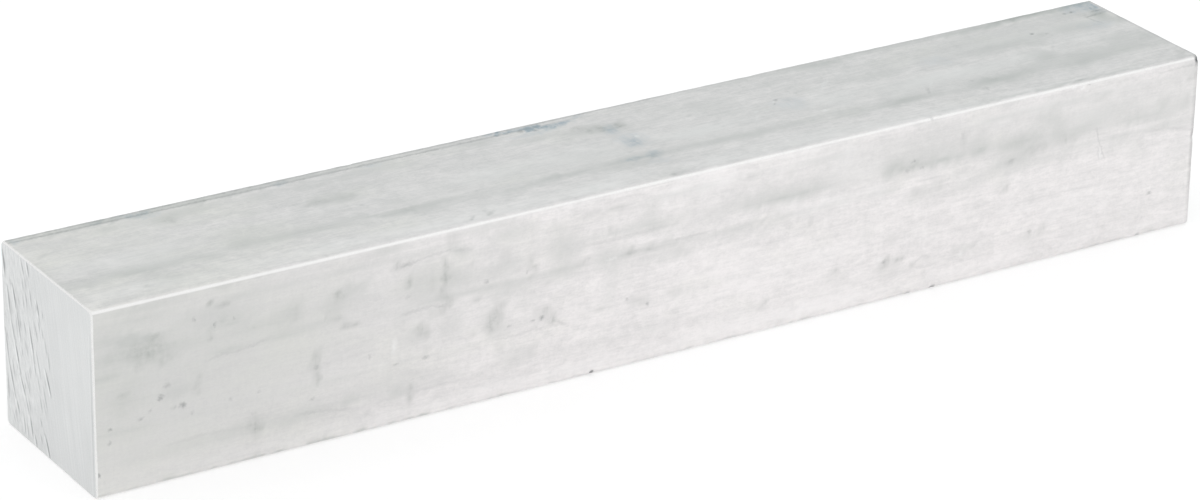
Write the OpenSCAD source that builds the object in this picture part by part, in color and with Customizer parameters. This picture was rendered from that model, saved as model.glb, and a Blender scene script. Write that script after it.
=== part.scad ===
// Solid aluminium square bar, extruded and sawn to length.
// The bar lies along X on one of its flats. The origin is in the middle of the
// underside, +Z is up and all sizes are in millimetres.

/* [Section] */
// Width across the flats, the same both ways
across_flats = 30; // [10:1:100]
// Radius that the extrusion die leaves on the four long edges
long_edge_radius = 1; // [0.5:0.1:3]

/* [Length] */
// Length between the two sawn ends
bar_length = 200; // [50:1:3000]
// Size of the 45 degree bevel filed round both sawn ends to take the burr off
end_bevel = 0.2; // [0.1:0.05:0.45]

/* [Hidden] */

// Enough sides to keep the small round edges smooth
$fn = 64;
half_length = bar_length / 2;
half_width = across_flats / 2;
// Where the two filed bevels start on the long sides of the bar
bevel_start = half_length - end_bevel;
// Distance from the bar's axis to the centre line of each rounded edge
edge_offset = half_width - long_edge_radius;

// Outline of the bar seen from one side: a long rectangle whose four corners
// are cut off by the end bevels.
module side_outline() {
    polygon([
        [-bevel_start, -half_width],
        [bevel_start, -half_width],
        [half_length, -half_width + end_bevel],
        [half_length, half_width - end_bevel],
        [bevel_start, half_width],
        [-bevel_start, half_width],
        [-half_length, half_width - end_bevel],
        [-half_length, -half_width + end_bevel]
    ]);
}

// The part of the bar that carries one pair of opposite flats. It reaches only
// as far as the centre lines of the rounded edges.
module core_between_flats() {
    linear_extrude(height = 2 * edge_offset, center = true)
        side_outline();
}

// One rounded long edge, as a rod about its own centre line. The end bevel
// goes on round it as a cone, so it keeps one size all the way round.
module rounded_edge() {
    rotate([0, 90, 0])
        rotate_extrude()
            polygon([
                [0, -half_length],
                [long_edge_radius - end_bevel, -half_length],
                [long_edge_radius, -bevel_start],
                [long_edge_radius, bevel_start],
                [long_edge_radius - end_bevel, half_length],
                [0, half_length]
            ]);
}

// The whole bar about its own axis
module bar_about_axis() {
    core_between_flats();
    rotate([90, 0, 0])
        core_between_flats();
    for (y = [-edge_offset, edge_offset], z = [-edge_offset, edge_offset])
        translate([0, y, z])
            rounded_edge();
}

// The bar lying on its underside
module square_bar() {
    color("gainsboro")
        translate([0, 0, half_width])
            bar_about_axis();
}

square_bar();
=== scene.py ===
import math

import bpy
import numpy as np
from mathutils import Matrix, Vector


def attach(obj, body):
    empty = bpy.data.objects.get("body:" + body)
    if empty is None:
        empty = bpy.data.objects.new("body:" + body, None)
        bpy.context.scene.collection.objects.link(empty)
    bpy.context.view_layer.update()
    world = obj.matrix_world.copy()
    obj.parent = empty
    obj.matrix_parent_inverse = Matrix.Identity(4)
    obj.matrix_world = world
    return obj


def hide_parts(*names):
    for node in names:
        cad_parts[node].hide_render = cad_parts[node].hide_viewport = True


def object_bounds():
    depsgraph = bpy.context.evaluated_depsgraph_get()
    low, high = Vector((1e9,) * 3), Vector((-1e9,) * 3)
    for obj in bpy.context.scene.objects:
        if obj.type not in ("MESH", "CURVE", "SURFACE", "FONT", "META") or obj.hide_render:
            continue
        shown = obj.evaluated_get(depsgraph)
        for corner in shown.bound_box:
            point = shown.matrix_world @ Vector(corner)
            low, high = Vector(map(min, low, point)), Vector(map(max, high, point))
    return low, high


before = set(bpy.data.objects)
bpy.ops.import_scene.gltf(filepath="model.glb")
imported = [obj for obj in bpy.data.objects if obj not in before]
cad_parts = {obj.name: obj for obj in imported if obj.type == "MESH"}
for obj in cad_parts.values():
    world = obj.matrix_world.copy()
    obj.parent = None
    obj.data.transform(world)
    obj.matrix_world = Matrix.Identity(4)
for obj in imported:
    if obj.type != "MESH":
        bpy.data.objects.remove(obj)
CAD_LOW, CAD_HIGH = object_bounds()

# One solid length of extruded aluminium square bar. The CAD node has the true
# section and edges. This script lays a skin of the same size over it, with the
# marks that the extrusion die, the saw, the file and handling have left.
# Lengths are in millimetres, and MM turns them to Blender's metres.
MM = 0.001
LENGTH = (CAD_HIGH.x - CAD_LOW.x) / MM
WIDTH = (CAD_HIGH.y - CAD_LOW.y) / MM
HALF_LENGTH = LENGTH / 2
HALF_WIDTH = WIDTH / 2
# As in the CAD model
EDGE_RADIUS = 1.0
END_BEVEL = 0.2

SIDES = TOP, BACK, UNDERSIDE, FRONT = range(4)
LEFT, RIGHT = -1, 1
# Stands for the front side where places on it were read off the photo's picture
PHOTO_FRONT = "front in the photo"

# How finely the skin is divided. The rings of points along the bar stop a
# little before its ends, and lie closer together at the nicks.
ROUND_STEPS = 8
FLAT_STEPS = 36
STATION_GAP = 1.0
STATION_MARGIN = 1.0
NICK_STATION_GAP = 0.12
NICK_REACH = 1.5
# A close row of points beside each round and bevel keeps the flats flat
HOLD = 0.15
# The ends are finer than the long sides, most of all across their saw grooves
CAP_FINER = {TOP: 4, BACK: 2, UNDERSIDE: 4, FRONT: 2}

# Depths of the relief, all of it cut inward from the CAD size
HOLLOW_DEPTH = 0.02
EDGE_WEAR_DEPTH = 0.06
DIE_LINE_DEPTH = 0.012
# Each side's die lines: how many, how far in from its edges, and the least and
# the greatest half width and share of the depth
DIE_LINES_A_SIDE = 9
DIE_LINE_MARGIN = 2.0
DIE_LINE_HALF_WIDTHS = (0.8, 2.2)
DIE_LINE_SHARES = (0.4, 1)

# Uneven things swell and fade in waves: the longest and the shortest, in mm
DIE_LINE_WAVES = (150, 30)
WEAR_WAVES = (60, 2.5)
RIM_WAVES = (14, 1.6)
STREAK_WAVES = (70, 9)
STREAK_PATH_WAVES = (160, 30)
BEVEL_WAVES = (30, 2.0)
SAW_WAVES = (22, 3)
WAVE_COUNT = 9

# Seeds of the random draws, to which the number of the side, line or end is added
LINE_SEED = 20
LINE_WAVE_SEED = 100
WEAR_SEED = 40
RIM_SEEDS = (11, 12)
STREAK_SEED = 200
STREAK_PATH_SEED = 230
BEVEL_SEED = 60
SAW_WAVE_SEED = 80
FINE_GROOVE_SEED = 30
RIGHT_GROOVE_SEED = 7
HIDDEN_RUB_SEED = 3
HIDDEN_HAZE_SEED = 4
HIDDEN_SPECK_SEED = 5

# The photo's upright edges are straightened, as by a lens shift, and the scene's
# camera has no shift. So places under PHOTO_FRONT are moved to where the camera
# shows them as the photo does. These are the front side's corners, from the top
# left one round by the right, in pixels of a picture 1200 across: as the photo
# has them, and as the camera shows them.
PHOTO_CORNERS = [(92.2, 312.3), (1199.3, 57.0), (1197.7, 218.9), (94.0, 500.0)]
CAMERA_CORNERS = [(91.4, 313.6), (1198.8, 56.9), (1187.1, 222.9), (97.3, 498.8)]
# Across the side only this share of the move is made, and along it no place
# comes farther than this
SHARE_ACROSS = 0.5
FARTHEST_PLACE = 199.6

# Nicks in the long edges, by the side that an edge comes before going round
# (the front top edge is TOP, the back top one BACK and the bottom front one
# FRONT): mm from the left end, half length and depth
EDGE_NICKS = {
    TOP: [
        (146.8, 0.25, 0.05),
    ],
    PHOTO_FRONT: [
        (82.6, 0.35, 0.34), (141.3, 0.5, 0.14), (146, 0.5, 0.2), (187.3, 0.4, 0.12),
    ],
    BACK: [
        (58, 0.6, 0.2), (131, 0.8, 0.16),
    ],
    UNDERSIDE: [
        (37, 0.6, 0.24), (164, 0.5, 0.2),
    ],
}
NICK_SPREAD = 0.45
# A nick as deep as this is painted all dark as shade, and a shallower one less so
DARK_NICK_DEPTH = 0.3

# The filed end bevels' size, in shares of its CAD size: the least, and how
# much their unevenness adds
BEVEL_LEAST = 1.05
BEVEL_SWING = 0.3
# How far the bevel's middle ring stands in, so that it is slightly rounded
BEVEL_MIDDLE = 0.4
# Chips in the filed end bevels: the end, the side, mm across the side from its
# first edge, half width, how much wider the bevel is there, and how dark its
# painted shade is
BEVEL_CHIPS = [
    (LEFT, FRONT, 4.3, 0.6, 0.5, 0.0),
    (LEFT, TOP, 9.0, 0.5, 0.15, 0.0),
    (LEFT, BACK, 18.0, 0.5, 0.3, 0.3),
    (RIGHT, FRONT, 29.4, 0.6, 1.3, 1.0),
    (RIGHT, TOP, 0.3, 0.35, 0.8, 0.8),
    (RIGHT, FRONT, 15.6, 0.6, 1.0, 0.0),
    (RIGHT, FRONT, 16.3, 0.4, 0.8, 0.9),
    (RIGHT, TOP, 21.0, 0.5, 0.3, 0.2),
    (RIGHT, BACK, 12.0, 0.6, 0.4, 0.3),
    (RIGHT, FRONT, 14.0, 12.0, 0.3, 0.3),
]

# Deep saw grooves in the left end, as the photo shows them: mm from the back
# edge and mm down at the groove's start and at its end, and its depth
SAW_GROOVES = [
    (0.6, 1.4, 1.2, 5.4, 0.1), (1.9, 6.8, 2.5, 10.8, 0.08), (3.7, 6, 4.6, 9.2, 0.1),
    (4.8, 9.4, 5.9, 14.2, 0.07), (2.8, 11.8, 3.9, 15.2, 0.06), (3.9, 15.2, 5, 18.6, 0.1),
    (5, 18.4, 5.4, 19.9, 0.06), (5.3, 20, 6.9, 23, 0.08), (6.8, 22.8, 7.9, 25.4, 0.05),
    (0.6, 14.2, 1.5, 19.4, 0.06), (1.5, 19.2, 3.1, 23.9, 0.08), (0.8, 21.6, 1, 25.4, 0.06),
    (3.7, 24.7, 4.4, 26.5, 0.08), (8.2, 25.6, 8.9, 28.7, 0.08), (13.2, 26.6, 14.6, 29.9, 0.1),
    (14, 15.6, 15.6, 19.2, 0.1), (13.1, 18.8, 14.2, 22.2, 0.04), (9, 10.7, 10.2, 15, 0.09),
    (10, 14.8, 10.4, 16.4, 0.05), (11, 13.6, 12.2, 17.4, 0.05), (10.7, 9.2, 11.7, 11.8, 0.05),
    (11.8, 5.5, 12.4, 7.7, 0.09), (12.3, 7.4, 12.8, 8.8, 0.04), (8.8, 0.2, 9.4, 2.3, 0.08),
    (6.9, 0.7, 7.9, 3.2, 0.05), (9.6, 4.6, 10, 6.8, 0.05), (8.1, 5.6, 8.5, 7.6, 0.05),
    (14.1, 10.6, 14.7, 13.2, 0.04), (15.1, 12.6, 15.5, 15.2, 0.05), (6, 26.4, 6.4, 29, 0.05),
    (7, 26.8, 7.4, 29.2, 0.04), (9.6, 28, 10.2, 29.6, 0.07), (29.3, 4, 29.2, 29.4, 0.025),
]
GROOVE_HALF_WIDTH = 0.2
DEEPEST_GROOVE = 0.1
# How far a groove's bright rim, a painted highlight, lies from its middle, toward the back
RIM_OFFSET = 0.4
# The fine grooves start this far in from the back and top edges, and above the
# bottom one. They lean by these degrees, and by so much more for each mm down.
GROOVES_FROM = (0.5, 0.5)
GROOVES_END_SHORT = 2
GROOVE_LEANS = (5, 9)
GROOVE_ARC = 0.5
# Right to its tips, a groove is as deep as at this share of its length
GROOVE_TIP = 0.06
# The saw's waves: how far apart and how deep they are, how far they lean
# near the back for each mm down, how their arc bends them, and the least
# share of them that is left near the front
SAW_PITCH = 1.35
SAW_WAVE_DEPTH = 0.012
SAW_LEAN = 0.2
SAW_ARC = 0.004
SAW_LEAST = 0.15

# Marks on the long sides, by side: mm from the left end, mm from the side's
# top or back edge, length, height and strength, and last, where a mark is
# turned, by how many degrees. Those under PHOTO_FRONT are moved for the camera.
# Most were read off the photo. About 120 under FRONT and TOP have places
# and sizes that were measured where a render still differed from the photo.
# Grey rubs, made of short strokes across the bar
RUBS = {
    PHOTO_FRONT: [
        (8.6, 8, 11.5, 5.6, 0.42), (9.6, 5.8, 2.6, 1.4, 0.4), (7.5, 10.3, 2.2, 1.4, 0.4),
        (10.9, 10.4, 2.4, 1.4, 0.4), (21.4, 3.1, 2.4, 1.2, 0.5), (16.2, 15.5, 1.8, 6.4, 0.45),
        (4.8, 14.5, 3.4, 1.2, 0.4, -25), (19.2, 8.2, 0.9, 2.4, 0.4), (25.7, 24.2, 3.4, 6.4, 0.5),
        (25.5, 24.8, 2.6, 2.4, 0.25), (32.5, 7.5, 1.6, 4.4, 0.45), (36, 19.2, 2, 3.6, 0.5),
        (38.7, 7.8, 5.4, 5.8, 0.2), (39.9, 6.3, 1.4, 3, 0.5, 15), (37.5, 9.8, 1.8, 1.1, 0.5),
        (39.3, 10, 1.6, 1.8, 0.45), (41.6, 11.7, 5, 1.1, 0.7), (51.3, 6.8, 2.2, 4.2, 0.55),
        (57.2, 10.4, 2.8, 7.4, 0.35), (55, 8.2, 1.6, 4, 0.35), (58.6, 1.7, 5, 3.4, 0.4),
        (53.4, 15.6, 3.6, 4.8, 0.5, 10), (51.4, 25.3, 2.4, 4.4, 0.55), (66.3, 15.8, 3.8, 6.6, 0.45),
        (65, 17.6, 2.8, 4.6, 0.5), (61.6, 18.2, 2.4, 1.4, 0.4), (72.4, 9.2, 2, 8, 0.45),
        (74.6, 17.4, 5, 4, 0.5, -20), (71.8, 23, 2.6, 4.2, 0.35), (67.6, 6.4, 3.6, 4.4, 0.3),
        (82.4, 3, 4, 1.6, 0.4), (87.6, 3, 5, 1.6, 0.5), (86.4, 6.4, 2.2, 4, 0.4), (89, 10.8, 5, 1.8, 0.5),
        (93.4, 10.8, 5.4, 2.2, 0.4), (98, 11.4, 5.4, 2, 0.4, -8), (84.4, 18.9, 3, 1.2, 0.35),
        (91, 19.3, 6.4, 3, 0.36, -8), (97.4, 19.3, 4, 3, 0.4), (122.6, 13, 1.6, 3, 0.4),
        (126.3, 5.2, 1.2, 2.6, 0.35), (107.8, 12.8, 1.4, 1.4, 0.4), (118.4, 21.4, 2.6, 1, 0.45),
        (127.6, 22.2, 2.4, 1, 0.5), (132.3, 22.3, 2.6, 1, 0.5), (136.8, 23.2, 2.2, 1.6, 0.75, 12),
        (135.2, 24.2, 2.4, 1, 0.6, 20), (139.2, 23.2, 2.8, 1.2, 0.6, 10), (138.2, 19.6, 3, 4, 0.3),
        (142.2, 7.8, 9, 2.4, 0.32), (142.6, 12.2, 4, 2.4, 0.35), (147.4, 11.9, 4, 2, 0.35),
        (151.8, 5.4, 1.6, 5, 0.35), (150.5, 24, 2.4, 2, 0.5), (153.9, 23.6, 3.4, 1.6, 0.55),
        (165, 24, 2, 2.4, 0.5), (167.8, 24, 2.4, 3.4, 0.45), (160.5, 15.6, 2.2, 1.2, 0.4),
        (167, 9.8, 9, 3, 0.4), (172.6, 9.6, 6.4, 3.4, 0.4), (197.3, 8, 2.4, 4.6, 0.35),
        (56.4, 12.9, 3.4, 2.2, 0.35), (75.6, 19.2, 3.6, 1.6, 0.4), (99, 12.9, 6, 2, 0.25),
    ],
    FRONT: [
        (20, 3.3, 3.6, 1.6, 0.85), (36.2, 15.9, 3.4, 5.8, 0.5), (58.2, 7.4, 2.2, 4.8, 0.4),
        (65.7, 15.3, 2, 2.2, 0.25), (115.9, 24.9, 3.6, 1.5, 0.6, 18), (146.4, 24.2, 5, 2.6, 0.2),
        (50.6, 3.9, 3.4, 1.6, 0.7), (62.8, 6.2, 2.2, 2.4, 0.55), (76, 19, 2.8, 1.8, 0.35),
        (82.4, 10.2, 5.4, 1.8, 0.45), (59.2, 12, 2.2, 1.6, 0.5), (63.6, 12.5, 2.4, 2.2, 0.45),
        (68.2, 13.8, 4, 1.8, 0.25), (58.2, 5.6, 1.8, 3.4, 0.45), (68, 21, 3.4, 2.2, 0.4),
        (76, 12.7, 4.2, 1.8, 0.35), (143.8, 24.2, 2.2, 1.6, 0.45, 10), (198.3, 3.8, 3.2, 2.6, 0.45),
        (70.9, 9.5, 3.4, 1.6, 0.3), (162, 16.1, 3.6, 1.5, 0.35), (40.7, 11.5, 2.8, 2.2, 0.35),
        (119.7, 3.7, 3.6, 1.8, 0.3), (12.7, 9.8, 4.2, 1.8, 0.3),
    ],
    TOP: [
        (24.6, 6.2, 3.2, 3, 0.5), (47.5, 11.4, 5.4, 3.8, 0.4), (52, 11.8, 5.4, 3.4, 0.35),
        (66.9, 28, 2.8, 1.8, 0.7), (66.4, 26.7, 2, 1.2, 0.4, -30), (11, 25.9, 1.8, 1.6, 0.4),
        (7.6, 28.1, 2, 1, 0.35), (99.4, 28.6, 3.6, 2.4, 0.55), (96.9, 7.6, 1.8, 3, 0.5, -20),
        (94.4, 6.8, 6.6, 3.4, 0.3), (102.4, 7.9, 3.4, 2.6, 0.75), (131, 12.4, 3.8, 2.4, 0.25),
        (116.5, 6.4, 4, 5, 0.25), (183.6, 9.6, 4, 2.4, 0.3), (197.4, 28.4, 3, 1.8, 0.45),
        (184, 1.2, 16, 1.2, 0.5), (99.4, 20.8, 7, 1.4, 0.4), (98.7, 7.5, 1.9, 5.4, 0.65),
        (96.2, 5.6, 4, 3, 0.45), (194.3, 5.7, 4, 2.6, 0.5), (198.6, 26.8, 2.4, 2.4, 0.6),
        (113.7, 10.2, 2.2, 2.2, 0.4), (50.2, 5.7, 4.6, 2.2, 0.35), (102, 8.7, 4.4, 2.8, 0.4),
        (45, 11.6, 2.2, 1.8, 0.45), (146.2, 2.5, 2.4, 2.2, 0.35), (160.9, 24.3, 2.4, 1.8, 0.4),
        (2.5, 8.8, 4, 2, 0.35),
    ],
}
# Dull haze: the oxide's own cloudiness and wide soft bands, and some painted shade
HAZE_AND_SHADE = {
    PHOTO_FRONT: [
        (8, 8, 17, 6, 0.2), (21, 6.6, 14, 2, 0.25), (39, 7.6, 9, 8, 0.12), (29, 24.3, 32, 3.6, 0.25),
        (36, 24.3, 12, 2.4, 0.12), (54, 8, 12, 11, 0.35), (68, 11.4, 26, 3, 0.35), (65.6, 17, 8, 9, 0.25),
        (94, 11.2, 22, 3, 0.3), (92, 7, 24, 3, 0.4), (110, 10.8, 26, 1.4, 0.35), (110, 12, 26, 1.4, 0.3),
        (116, 7.2, 36, 4.4, 0.35), (120, 7.9, 22, 2, 0.4), (147, 7.7, 26, 2.2, 0.4),
        (164.5, 9, 14, 5, 0.35), (163, 10.4, 9, 3, 0.3), (174, 9, 12, 4, 0.25), (181, 6.8, 24, 6, 0.28),
        (196, 8.5, 12, 8, 0.25), (32.5, 7.4, 5, 6, 0.25), (13, 15.4, 7, 4, 0.22), (60, 4.2, 5, 3, 0.35),
        (66, 8.6, 13, 5, 0.4), (69, 12.8, 11, 3.6, 0.3), (78, 7.6, 9, 9, 0.55), (84.6, 10.2, 6, 4, 0.35),
        (95, 12.9, 18, 2.2, 0.35), (69, 23.2, 9, 5.4, 0.32), (49, 24.8, 5, 3, 0.3), (138, 7.2, 6, 4, 0.4),
        (165, 11.9, 28, 3, 0.4), (159.5, 10.8, 6, 3.4, 0.35), (171, 7.2, 5, 6, 0.3),
        (187, 8.9, 15, 3, 0.42), (192, 6.6, 4.6, 5, 0.3), (198, 1.4, 7, 4, 0.35), (144, 13, 11, 4, 0.35),
        (127, 23.2, 8, 2.6, 0.25), (138, 23.8, 7, 3.2, 0.25), (133, 17.6, 6, 4, 0.2),
        (187, 14.4, 8, 5, 0.22), (163, 7.2, 18, 3.4, 0.35), (78, 11.8, 10, 4, 0.3), (88, 10, 6, 4, 0.3),
        (52, 16, 6, 5, 0.25), (20, 5, 18, 5, 0.2), (182, 12.4, 18, 3.4, 0.25), (66, 5, 18, 4, 0.2),
        (70, 18.6, 12, 5, 0.2),
    ],
    FRONT: [
        # The first entry darkens the left half, most toward the left end. The strips at 29.8 and 30 mm
        # across are painted shade along the bottom edge, and those from 0.3 to 1 mm across are painted
        # shade just below the top edge's highlight.
        (2, 12, 150, 60, 0.62), (160, 5, 150, 13, 0.3), (146.1, 6.3, 24, 5.6, 0.28),
        (166.5, 25.4, 8, 4, 0.2), (100, 30, 240, 1.3, 0.6), (8, 5.9, 12, 1.6, 0.25),
        (60, 7.4, 6, 4.6, 0.25), (77.6, 3.6, 5, 3, 0.3), (155, 12.8, 14, 3.6, 0.3, 5),
        (51, 12.4, 5, 4, 0.2), (48.8, 0.9, 9, 2.2, 0.4), (65.5, 1, 16, 2.6, 0.35), (9, 1, 18, 2, 0.25),
        (23, 0.3, 16, 1.4, 0.3), (162.4, 0.5, 9, 1.4, 0.35), (145, 0.6, 7, 1.4, 0.25),
        (97.2, 10.1, 4, 2.4, 0.35), (72.2, 15.2, 7, 3, 0.25), (161, 14.6, 5, 4.5, 0.3),
        (153.8, 24, 5, 2.6, 0.3), (157, 8, 5, 2.4, 0.3), (41.8, 24, 4, 3, 0.3), (56, 13.2, 3, 3, 0.3),
        (55, 18.4, 3, 3, 0.25), (84, 7.6, 5, 3, 0.25), (60, 3.2, 5, 2.4, 0.3), (114.8, 13, 6, 2, 0.25),
        (178, 10.8, 6, 2, 0.25), (30.4, 8, 5.6, 6, 0.25), (192.4, 10, 9, 5, 0.2), (196.6, 15.6, 7, 6, 0.22),
        (87, 11.9, 7, 5, 0.35), (87.4, 16.3, 4.6, 9, 0.25), (42.6, 6, 8, 3.4, 0.35), (4.4, 5.4, 12, 3, 0.3),
        (5.2, 14.9, 8.5, 6, 0.18), (112.3, 8, 3.6, 2.4, 0.35), (169.5, 4.7, 7, 4.6, 0.3),
        (70.5, 2.6, 11, 4, 0.3), (59, 15.7, 7, 7, 0.25), (50.2, 23, 30, 5, 0.2), (180.3, 3.2, 6, 2.2, 0.3),
        (36, 29.8, 110, 1.6, 0.7), (186, 29.8, 40, 1.6, 0.5), (60.6, 9.3, 8, 3.2, 0.35),
        (94.3, 4.9, 5.4, 5, 0.35), (156, 6.6, 5.4, 5, 0.3),
    ],
    TOP: [
        (12, 19.6, 28, 4, 0.25), (13, 20.8, 16, 1.4, 0.3), (40, 19.8, 28, 4, 0.15),
        (59, 20.3, 18, 3.4, 0.5), (83, 20.9, 14, 3, 0.4), (97, 20.6, 14, 3, 0.35), (114, 21, 40, 2.8, 0.24),
        (147, 22.2, 20, 3.4, 0.55), (166, 21.9, 17, 3.4, 0.6), (184, 20.4, 36, 6.4, 0.36),
        (184, 22.8, 12, 3, 0.15), (24.5, 6.4, 7, 6, 0.2), (50, 11.6, 13, 5.4, 0.4), (97, 7.8, 13, 4.4, 0.3),
        (15, 24, 8, 8, 0.25), (176, 7, 60, 12, 0.3), (190, 10, 20, 8, 0.2), (30, 1.7, 120, 2.6, 0.7),
        (152, 1.6, 110, 2.4, 0.5), (26, 4.6, 28, 4.6, 0.42), (41, 5.2, 8, 5, 0.4), (58, 4.8, 26, 4.6, 0.4),
        (6, 5.4, 16, 5, 0.25), (15, 11, 30, 3.6, 0.2), (88, 6.6, 13, 3.2, 0.4), (23.5, 21.6, 7, 5, 0.3),
        (50, 19.4, 12, 2.6, 0.3, -20), (58, 17.4, 8, 3.2, 0.25), (60, 22.6, 11, 3, 0.3),
        (3, 21.4, 12, 3, 0.3), (76, 22.2, 15, 2.8, 0.32), (95, 22.8, 16, 3, 0.4),
        (120, 22.2, 12, 2.6, 0.25), (150, 10.8, 16, 3.6, 0.35), (174, 11, 22, 5, 0.3),
        (119, 8.2, 15, 8, 0.25), (120, 12.2, 11, 2.6, 0.3), (125.5, 13.6, 7, 2.6, 0.25),
        (197.5, 6.6, 5, 8, 0.8), (177, 16.6, 8, 8, 0.3), (188, 1.2, 34, 2.8, 0.8),
        (143, 2.6, 18, 2.4, 0.25), (102.8, 9, 6, 4, 0.35), (166, 23.6, 22, 2.6, 0.35),
        (158, 22.8, 14, 2.4, 0.3), (90, 2.4, 9, 2, 0.5), (30, 18.4, 10, 5, 0.25), (194, 17, 12, 5, 0.25),
        (179, 17.4, 6, 5, 0.25), (197, 1.6, 12, 2.6, 0.4), (199, 10.6, 5, 4.4, 0.5), (148, 6, 10, 3, 0.2),
        (176, 2.3, 24, 1.8, 0.45), (15.6, 2, 6, 2.4, 0.45), (98.4, 7.4, 7, 7, 0.25),
        (180.2, 23.2, 10, 3.6, 0.4), (132.2, 5.5, 5.6, 3.2, 0.35), (79.2, 3.5, 11, 4, 0.4),
        (136.7, 22.7, 8, 3.4, 0.3), (136, 10.7, 7, 3.4, 0.25), (174, 28.9, 60, 0.9, 0.5),
        (143.6, 3.2, 10, 4, 0.3), (198.2, 18.3, 4.6, 4.4, 0.35), (180.2, 12.4, 5.4, 3.2, 0.3),
        (192, 3.6, 9, 5, 0.3), (36.4, 10.2, 5.4, 5, 0.3), (15.2, 5.2, 7, 3.8, 0.3),
        (47.4, 5.1, 7, 3.8, 0.3), (112.3, 5.7, 5, 4.6, 0.25),
    ],
}
# Small dark specks and pits
SPECKS = {
    PHOTO_FRONT: [
        (10.7, 16, 1.5, 1.3, 1.6, 20), (11.7, 14.4, 1.8, 1.5, 0.6), (12.8, 18.2, 1.6, 1, 0.45),
        (2.7, 19.2, 1.4, 0.9, 0.9), (2.6, 21.3, 1, 1, 0.9), (7.4, 18.7, 1.8, 0.8, 0.7, 20),
        (8.9, 17.8, 1.4, 0.7, 0.6, 20), (15.5, 19.7, 1.2, 0.8, 0.6), (16, 5, 0.7, 1.4, 0.7),
        (19.3, 6.5, 0.7, 1.4, 0.7), (22.4, 6.3, 0.6, 1.2, 0.6), (21.7, 19, 1, 0.8, 0.6),
        (26.4, 19, 1, 0.8, 0.6), (25.3, 22.3, 1.4, 0.9, 0.5), (34.9, 22.3, 2, 0.8, 0.6),
        (35.8, 17.2, 1.2, 1, 0.6), (44.5, 17.7, 0.7, 1.4, 0.8), (49, 20, 1.4, 0.7, 0.8),
        (51, 9.5, 1.4, 0.8, 0.5), (54, 20.1, 2, 0.9, 0.8), (64.3, 10, 1.4, 1.1, 0.8),
        (71.4, 10.1, 0.8, 1, 0.8), (73.9, 18.2, 1.5, 1.2, 1.4), (72.3, 18.3, 1.5, 0.9, 0.9),
        (68.2, 18.3, 0.9, 0.8, 0.7), (92.6, 20.3, 1.1, 1.1, 0.8), (88.9, 18.6, 1, 0.9, 0.7),
        (141, 8.3, 1.4, 0.8, 0.6), (143.8, 8.2, 1.3, 0.9, 0.8), (142.3, 6.8, 1.2, 0.8, 0.8),
        (136.6, 23.1, 1.4, 1, 0.7, 10), (165.1, 24, 1.4, 1.1, 0.6), (161.4, 10.9, 3, 1.4, 0.6, 10),
        (152, 4.2, 1, 2, 0.5), (189.6, 22.5, 1.6, 0.9, 0.9, -10), (0.7, 26, 0.9, 1.1, 1.6),
    ],
    FRONT: [
        (14.2, 18, 1.6, 1.5, 1.5), (84.1, 29.3, 1, 0.9, 2.4), (177.6, 0.6, 0.9, 0.7, 0.8),
    ],
    TOP: [
        (52.2, 15.5, 1.2, 1.2, 0.6), (129.3, 11.6, 1.9, 0.9, 1.1, 35), (128.3, 12.8, 1.5, 0.7, 0.9, 35),
        (133.8, 10.6, 1.2, 0.8, 0.6, 30), (182.1, 8.4, 1.5, 1, 1.1, 25), (184.3, 9.6, 1.3, 0.8, 0.6),
        (192.4, 3.7, 1.1, 1, 1.3), (193.7, 3.7, 1.4, 1.1, 1.4), (198, 5.2, 3.6, 1.2, 1),
        (161.4, 20.3, 1, 0.9, 0.6), (176.6, 28.8, 3, 0.8, 0.7), (87.6, 2.6, 1.6, 1.4, 1.2),
        (89.8, 3.4, 1.4, 1.2, 1),
    ],
}
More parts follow.
